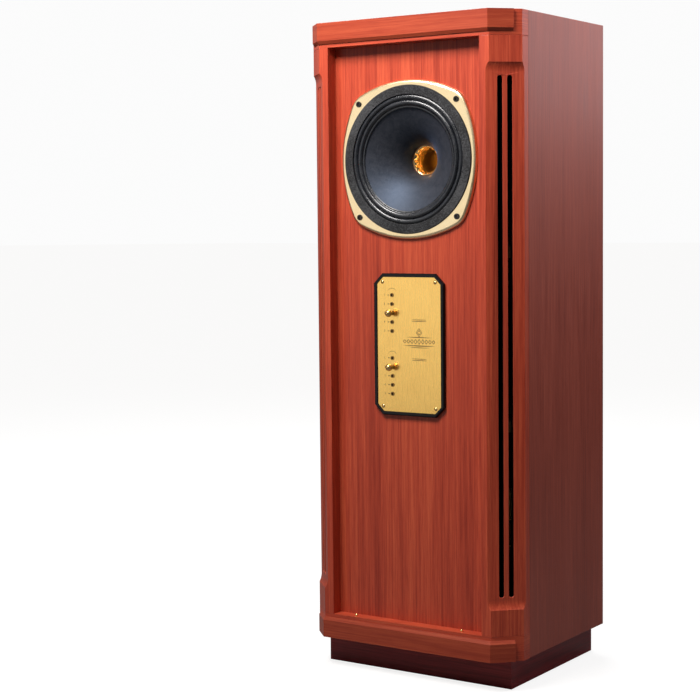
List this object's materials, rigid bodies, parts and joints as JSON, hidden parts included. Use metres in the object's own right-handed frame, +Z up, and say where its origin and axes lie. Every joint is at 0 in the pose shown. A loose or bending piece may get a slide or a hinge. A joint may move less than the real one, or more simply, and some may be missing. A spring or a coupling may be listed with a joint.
{
  "type": "floorstanding loudspeaker",
  "caption": "Tall wooden floorstanding loudspeaker with chamfered slotted front posts, one dual-concentric driver, a brass tone-selector plate, a dark plinth and rear binding posts.",
  "frame": {"origin": "on the floor under the middle of the whole object's box", "axes": "+Z up, -Y out of the front baffle, +X to the right as seen from the front"},
  "size_m": [0.406, 0.366, 1.1],
  "materials": {
    "cherry_veneer": "satin",
    "dark_plinth_lacquer": "satin",
    "birch_plywood": "matte",
    "acoustic_foam": "matte",
    "zinc_steel": "satin",
    "cast_chassis": "satin",
    "champagne_gold": "satin",
    "fibre_gasket": "matte",
    "doped_cloth": "satin",
    "cone_paper": "matte",
    "copper_wire": "satin",
    "spider_cloth": "matte",
    "plated_steel": "satin",
    "ferrite": "matte",
    "gold_waveguide": "polished",
    "alloy_dome": "satin",
    "black_steel": "satin",
    "black_plastic": "matte",
    "gloss_black": "gloss",
    "polished_brass": "polished",
    "green_board": "satin",
    "gold_plate": "polished",
    "red_cap": "gloss",
    "black_cap": "gloss",
    "green_cap": "gloss",
    "capacitor_film": "satin",
    "cement": "matte",
    "wire_sleeve": "matte"
  },
  "bodies": {
    "cabinet": {"left_side_panel": "cherry_veneer", "right_side_panel": "cherry_veneer", "top_panel": "cherry_veneer", "bottom_panel": "cherry_veneer", "back_panel": "cherry_veneer", "front_baffle": "cherry_veneer", "left_front_post": "cherry_veneer", "right_front_post": "cherry_veneer", "top_front_rail": "cherry_veneer", "bottom_front_rail": "cherry_veneer", "top_moulding": "cherry_veneer", "bottom_moulding": "cherry_veneer", "window_braces": "birch_plywood", "damping_pads": "acoustic_foam", "plinth_frame": "dark_plinth_lacquer", "spike_inserts": "zinc_steel", "driver_trim_ring": "champagne_gold", "driver_chassis": "cast_chassis", "surround_gasket": "fibre_gasket", "cone_surround": "doped_cloth", "spider": "spider_cloth", "front_pole_plate": "plated_steel", "ring_magnets": "ferrite", "rear_pole_piece": "plated_steel", "hf_waveguide": "gold_waveguide", "hf_phase_plug": "gold_waveguide", "hf_rear_cover": "black_steel", "driver_screws": "black_steel", "driver_terminals": "black_plastic", "control_bezel": "gloss_black", "control_plate": "polished_brass", "selector_sockets": "polished_brass", "selector_board": "green_board", "brass_screws": "polished_brass", "terminal_plate": "gold_plate", "terminal_insulators": "black_plastic", "terminal_studs": "gold_plate", "crossover_board": "green_board", "crossover_inductors": "copper_wire", "crossover_capacitors": "capacitor_film", "crossover_resistors": "cement", "internal_wiring": "wire_sleeve", "grille_pegs": "gold_plate"},
    "cone": {"speaker_cone": "cone_paper", "voice_coil": "copper_wire"},
    "hf_dome": {"hf_diaphragm": "alloy_dome"},
    "energy_knob_body": {"energy_knob": "polished_brass"},
    "energy_washer_body": {"energy_washer": "polished_brass"},
    "rolloff_knob_body": {"rolloff_knob": "polished_brass"},
    "rolloff_washer_body": {"rolloff_washer": "polished_brass"},
    "hf_positive_cap_body": {"hf_positive_cap": "red_cap"},
    "hf_positive_washer_body": {"hf_positive_washer": "gold_plate"},
    "hf_negative_cap_body": {"hf_negative_cap": "black_cap"},
    "hf_negative_washer_body": {"hf_negative_washer": "gold_plate"},
    "lf_positive_cap_body": {"lf_positive_cap": "red_cap"},
    "lf_positive_washer_body": {"lf_positive_washer": "gold_plate"},
    "lf_negative_cap_body": {"lf_negative_cap": "black_cap"},
    "lf_negative_washer_body": {"lf_negative_washer": "gold_plate"},
    "earth_cap_body": {"earth_cap": "green_cap"},
    "earth_washer_body": {"earth_washer": "gold_plate"}
  },
  "joints": [
    {"name": "cone_travel", "type": "slide", "parent": "cabinet", "child": "cone", "axis": [0, 1, 0], "range_m": [-0.004, 0.004], "stiffness_N_per_m": 1200, "deforming": ["cone_surround", "spider"]},
    {"name": "hf_dome_travel", "type": "slide", "parent": "cabinet", "child": "hf_dome", "axis": [0, 1, 0], "range_m": [-0.0003, 0.0003], "stiffness_N_per_m": 2000},
    {"name": "energy_knob_lift", "type": "slide", "parent": "cabinet", "child": "energy_washer_body", "axis": [0, -1, 0], "range_m": [0, 0.00701]},
    {"name": "energy_knob_turn", "type": "hinge", "parent": "energy_washer_body", "child": "energy_knob_body", "pos_m": [-0.0328, -0.163, 0.613], "axis": [0, -1, 0], "range_deg": [0, 3600]},
    {"name": "rolloff_knob_lift", "type": "slide", "parent": "cabinet", "child": "rolloff_washer_body", "axis": [0, -1, 0], "range_m": [0, 0.00701]},
    {"name": "rolloff_knob_turn", "type": "hinge", "parent": "rolloff_washer_body", "child": "rolloff_knob_body", "pos_m": [-0.0328, -0.163, 0.52255], "axis": [0, -1, 0], "range_deg": [0, 3600]},
    {"name": "hf_positive_cap_lift", "type": "slide", "parent": "cabinet", "child": "hf_positive_washer_body", "axis": [0, 1, 0], "range_m": [0, 0.00601]},
    {"name": "hf_positive_cap_turn", "type": "hinge", "parent": "hf_positive_washer_body", "child": "hf_positive_cap_body", "pos_m": [0.024, 0.167, 0.262], "axis": [0, 1, 0], "range_deg": [0, 2160]},
    {"name": "hf_negative_cap_lift", "type": "slide", "parent": "cabinet", "child": "hf_negative_washer_body", "axis": [0, 1, 0], "range_m": [0, 0.00601]},
    {"name": "hf_negative_cap_turn", "type": "hinge", "parent": "hf_negative_washer_body", "child": "hf_negative_cap_body", "pos_m": [-0.024, 0.167, 0.262], "axis": [0, 1, 0], "range_deg": [0, 2160]},
    {"name": "lf_positive_cap_lift", "type": "slide", "parent": "cabinet", "child": "lf_positive_washer_body", "axis": [0, 1, 0], "range_m": [0, 0.00601]},
    {"name": "lf_positive_cap_turn", "type": "hinge", "parent": "lf_positive_washer_body", "child": "lf_positive_cap_body", "pos_m": [0.024, 0.167, 0.218], "axis": [0, 1, 0], "range_deg": [0, 2160]},
    {"name": "lf_negative_cap_lift", "type": "slide", "parent": "cabinet", "child": "lf_negative_washer_body", "axis": [0, 1, 0], "range_m": [0, 0.00601]},
    {"name": "lf_negative_cap_turn", "type": "hinge", "parent": "lf_negative_washer_body", "child": "lf_negative_cap_body", "pos_m": [-0.024, 0.167, 0.218], "axis": [0, 1, 0], "range_deg": [0, 2160]},
    {"name": "earth_cap_lift", "type": "slide", "parent": "cabinet", "child": "earth_washer_body", "axis": [0, 1, 0], "range_m": [0, 0.00601]},
    {"name": "earth_cap_turn", "type": "hinge", "parent": "earth_washer_body", "child": "earth_cap_body", "pos_m": [0, 0.167, 0.184], "axis": [0, 1, 0], "range_deg": [0, 2160]}
  ],
  "couplings": [
    {"joint": "energy_knob_lift", "follows": "energy_knob_turn", "m_per_rad": 0.00011141},
    {"joint": "rolloff_knob_lift", "follows": "rolloff_knob_turn", "m_per_rad": 0.00011141},
    {"joint": "hf_positive_cap_lift", "follows": "hf_positive_cap_turn", "m_per_rad": 0.00015915},
    {"joint": "hf_negative_cap_lift", "follows": "hf_negative_cap_turn", "m_per_rad": 0.00015915},
    {"joint": "lf_positive_cap_lift", "follows": "lf_positive_cap_turn", "m_per_rad": 0.00015915},
    {"joint": "lf_negative_cap_lift", "follows": "lf_negative_cap_turn", "m_per_rad": 0.00015915},
    {"joint": "earth_cap_lift", "follows": "earth_cap_turn", "m_per_rad": 0.00015915}
  ]
}
